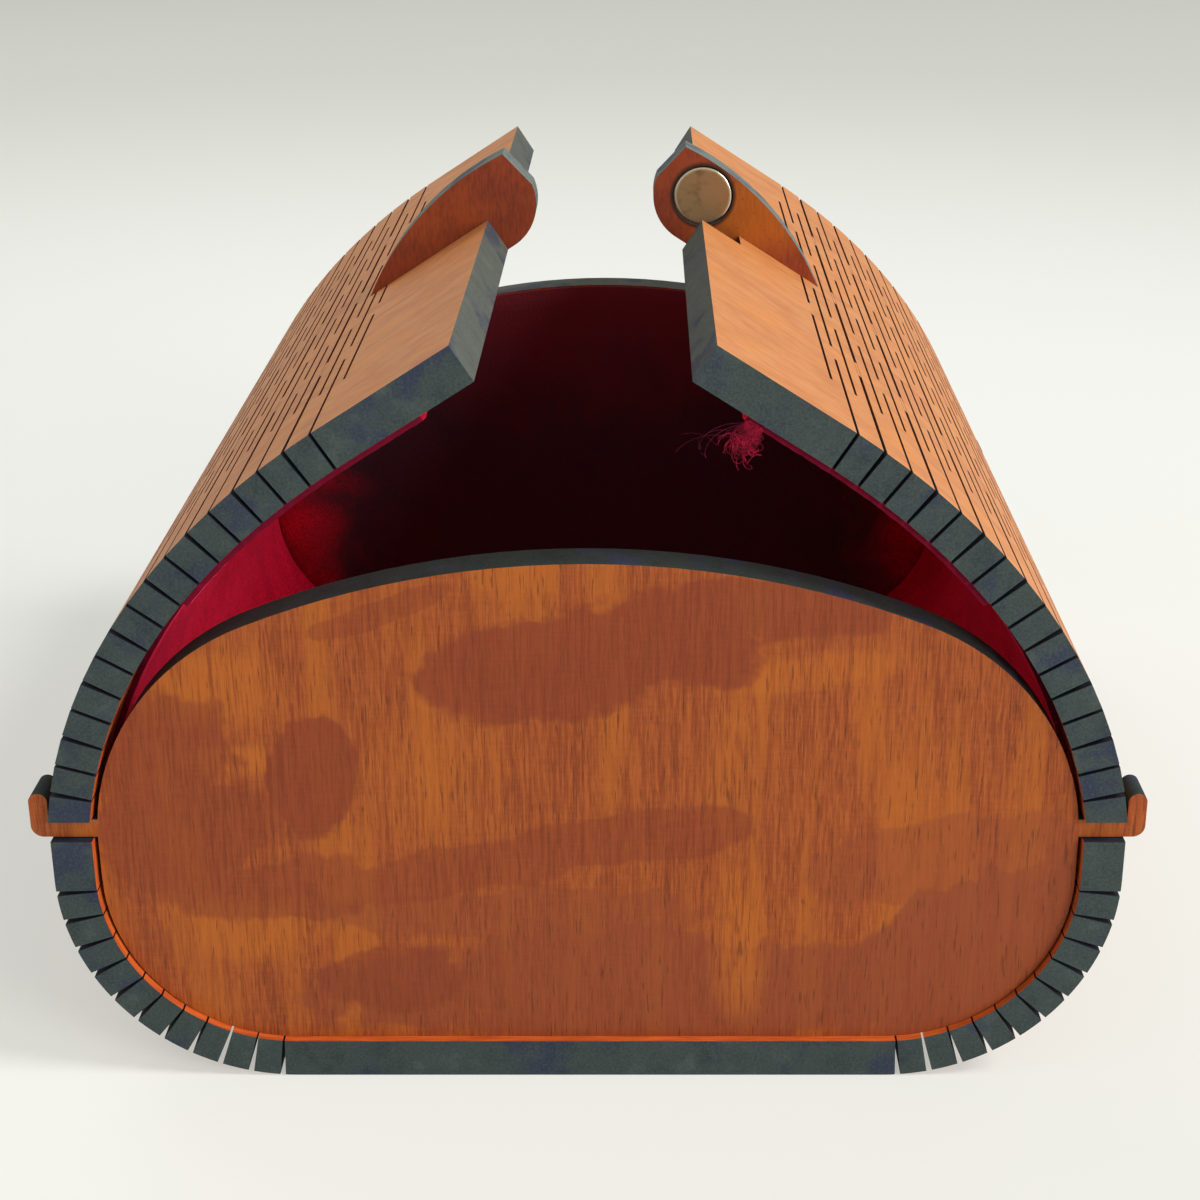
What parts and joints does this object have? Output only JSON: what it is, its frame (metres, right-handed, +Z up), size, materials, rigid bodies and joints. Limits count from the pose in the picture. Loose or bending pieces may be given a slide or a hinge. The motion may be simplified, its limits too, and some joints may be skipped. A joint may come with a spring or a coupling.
{
  "type": "lattice lid box",
  "caption": "Small plywood keepsake box: one kerf-cut sheet wraps two hooked end panels and forms two flexible lid halves with magnetic clasp fins.",
  "frame": {"origin": "middle of the bottom, on the surface that the box stands on", "axes": "+Z up, +X to the right lid half, -Y towards the front end panel"},
  "size_m": [0.081, 0.082, 0.0629],
  "materials": {
    "sheet_plywood": "fine-grained veneer with dark burnt edges",
    "panel_plywood": "reddish-brown veneer with upright grain and soft blotches, dark burnt edges",
    "fin_plywood": "reddish-brown veneer, dark burnt edges",
    "red_velvet": "short-pile crimson velvet",
    "nickel": "slightly tarnished nickel"
  },
  "bodies": {
    "base": {"base_shell": "sheet_plywood", "front_panel": "panel_plywood", "rear_panel": "panel_plywood", "base_lining": "red_velvet", "front_lining": "red_velvet", "rear_lining": "red_velvet"},
    "right_link_1": {"right_link_1": "sheet_plywood", "right_link_lining_1": "red_velvet"},
    "right_link_2": {"right_link_2": "sheet_plywood", "right_link_lining_2": "red_velvet"},
    "right_link_3": {"right_link_3": "sheet_plywood", "right_link_lining_3": "red_velvet"},
    "right_link_4": {"right_link_4": "sheet_plywood", "right_link_lining_4": "red_velvet"},
    "right_link_5": {"right_link_5": "sheet_plywood", "right_link_lining_5": "red_velvet"},
    "right_link_6": {"right_link_6": "sheet_plywood", "right_link_lining_6": "red_velvet"},
    "right_link_7": {"right_link_7": "sheet_plywood", "right_link_lining_7": "red_velvet"},
    "right_plate": {"right_end_plate": "sheet_plywood", "right_plate_lining": "red_velvet", "right_clasp_fin": "fin_plywood", "right_magnet": "nickel"},
    "left_link_1": {"left_link_1": "sheet_plywood", "left_link_lining_1": "red_velvet"},
    "left_link_2": {"left_link_2": "sheet_plywood", "left_link_lining_2": "red_velvet"},
    "left_link_3": {"left_link_3": "sheet_plywood", "left_link_lining_3": "red_velvet"},
    "left_link_4": {"left_link_4": "sheet_plywood", "left_link_lining_4": "red_velvet"},
    "left_link_5": {"left_link_5": "sheet_plywood", "left_link_lining_5": "red_velvet"},
    "left_link_6": {"left_link_6": "sheet_plywood", "left_link_lining_6": "red_velvet"},
    "left_link_7": {"left_link_7": "sheet_plywood", "left_link_lining_7": "red_velvet"},
    "left_plate": {"left_end_plate": "sheet_plywood", "left_plate_lining": "red_velvet", "left_clasp_fin": "fin_plywood", "left_magnet": "nickel"}
  },
  "joints": [
    {"name": "right_lid_bend_1", "type": "hinge", "parent": "base", "child": "right_link_1", "pos_m": [0.03644, 0, 0.02349], "axis": [0, -1, 0], "range_deg": [-2.65, 2.07]},
    {"name": "right_lid_bend_2", "type": "hinge", "parent": "right_link_1", "child": "right_link_2", "pos_m": [0.03527, 0, 0.02772], "axis": [0, -1, 0], "range_deg": [-5.51, 4.29]},
    {"name": "right_lid", "type": "hinge", "parent": "right_link_2", "child": "right_link_3", "pos_m": [0.03355, 0, 0.03177], "axis": [0, -1, 0], "range_deg": [-6.5, 5.05], "stiffness_Nm_per_rad": 0.15},
    {"name": "right_lid_bend_4", "type": "hinge", "parent": "right_link_3", "child": "right_link_4", "pos_m": [0.03135, 0, 0.03558], "axis": [0, -1, 0], "range_deg": [-6.62, 5.15]},
    {"name": "right_lid_bend_5", "type": "hinge", "parent": "right_link_4", "child": "right_link_5", "pos_m": [0.02874, 0, 0.03912], "axis": [0, -1, 0], "range_deg": [-6.09, 4.75]},
    {"name": "right_lid_bend_6", "type": "hinge", "parent": "right_link_5", "child": "right_link_6", "pos_m": [0.02579, 0, 0.04238], "axis": [0, -1, 0], "range_deg": [-3.43, 2.68]},
    {"name": "right_lid_bend_7", "type": "hinge", "parent": "right_link_6", "child": "right_link_7", "pos_m": [0.02255, 0, 0.04536], "axis": [0, -1, 0], "range_deg": [-1.61, 1.26]},
    {"name": "right_lid_bend_8", "type": "hinge", "parent": "right_link_7", "child": "right_plate", "pos_m": [0.01908, 0, 0.04806], "axis": [0, -1, 0], "range_deg": [-1.61, 1.26]},
    {"name": "left_lid_bend_1", "type": "hinge", "parent": "base", "child": "left_link_1", "pos_m": [-0.03644, 0, 0.02349], "axis": [0, 1, 0], "range_deg": [-2.65, 2.07]},
    {"name": "left_lid_bend_2", "type": "hinge", "parent": "left_link_1", "child": "left_link_2", "pos_m": [-0.03527, 0, 0.02772], "axis": [0, 1, 0], "range_deg": [-5.51, 4.29]},
    {"name": "left_lid", "type": "hinge", "parent": "left_link_2", "child": "left_link_3", "pos_m": [-0.03355, 0, 0.03177], "axis": [0, 1, 0], "range_deg": [-6.5, 5.05], "stiffness_Nm_per_rad": 0.15},
    {"name": "left_lid_bend_4", "type": "hinge", "parent": "left_link_3", "child": "left_link_4", "pos_m": [-0.03135, 0, 0.03558], "axis": [0, 1, 0], "range_deg": [-6.62, 5.15]},
    {"name": "left_lid_bend_5", "type": "hinge", "parent": "left_link_4", "child": "left_link_5", "pos_m": [-0.02874, 0, 0.03912], "axis": [0, 1, 0], "range_deg": [-6.09, 4.75]},
    {"name": "left_lid_bend_6", "type": "hinge", "parent": "left_link_5", "child": "left_link_6", "pos_m": [-0.02579, 0, 0.04238], "axis": [0, 1, 0], "range_deg": [-3.43, 2.68]},
    {"name": "left_lid_bend_7", "type": "hinge", "parent": "left_link_6", "child": "left_link_7", "pos_m": [-0.02255, 0, 0.04536], "axis": [0, 1, 0], "range_deg": [-1.61, 1.26]},
    {"name": "left_lid_bend_8", "type": "hinge", "parent": "left_link_7", "child": "left_plate", "pos_m": [-0.01908, 0, 0.04806], "axis": [0, 1, 0], "range_deg": [-1.61, 1.26]}
  ],
  "couplings": [
    {"joint": "right_lid_bend_1", "follows": "right_lid", "ratio": 0.4},
    {"joint": "right_lid_bend_2", "follows": "right_lid", "ratio": 0.84},
    {"joint": "right_lid_bend_4", "follows": "right_lid", "ratio": 1.01},
    {"joint": "right_lid_bend_5", "follows": "right_lid", "ratio": 0.93},
    {"joint": "right_lid_bend_6", "follows": "right_lid", "ratio": 0.52},
    {"joint": "right_lid_bend_7", "follows": "right_lid", "ratio": 0.24},
    {"joint": "right_lid_bend_8", "follows": "right_lid", "ratio": 0.24},
    {"joint": "left_lid_bend_1", "follows": "left_lid", "ratio": 0.4},
    {"joint": "left_lid_bend_2", "follows": "left_lid", "ratio": 0.84},
    {"joint": "left_lid_bend_4", "follows": "left_lid", "ratio": 1.01},
    {"joint": "left_lid_bend_5", "follows": "left_lid", "ratio": 0.93},
    {"joint": "left_lid_bend_6", "follows": "left_lid", "ratio": 0.52},
    {"joint": "left_lid_bend_7", "follows": "left_lid", "ratio": 0.24},
    {"joint": "left_lid_bend_8", "follows": "left_lid", "ratio": 0.24}
  ]
}
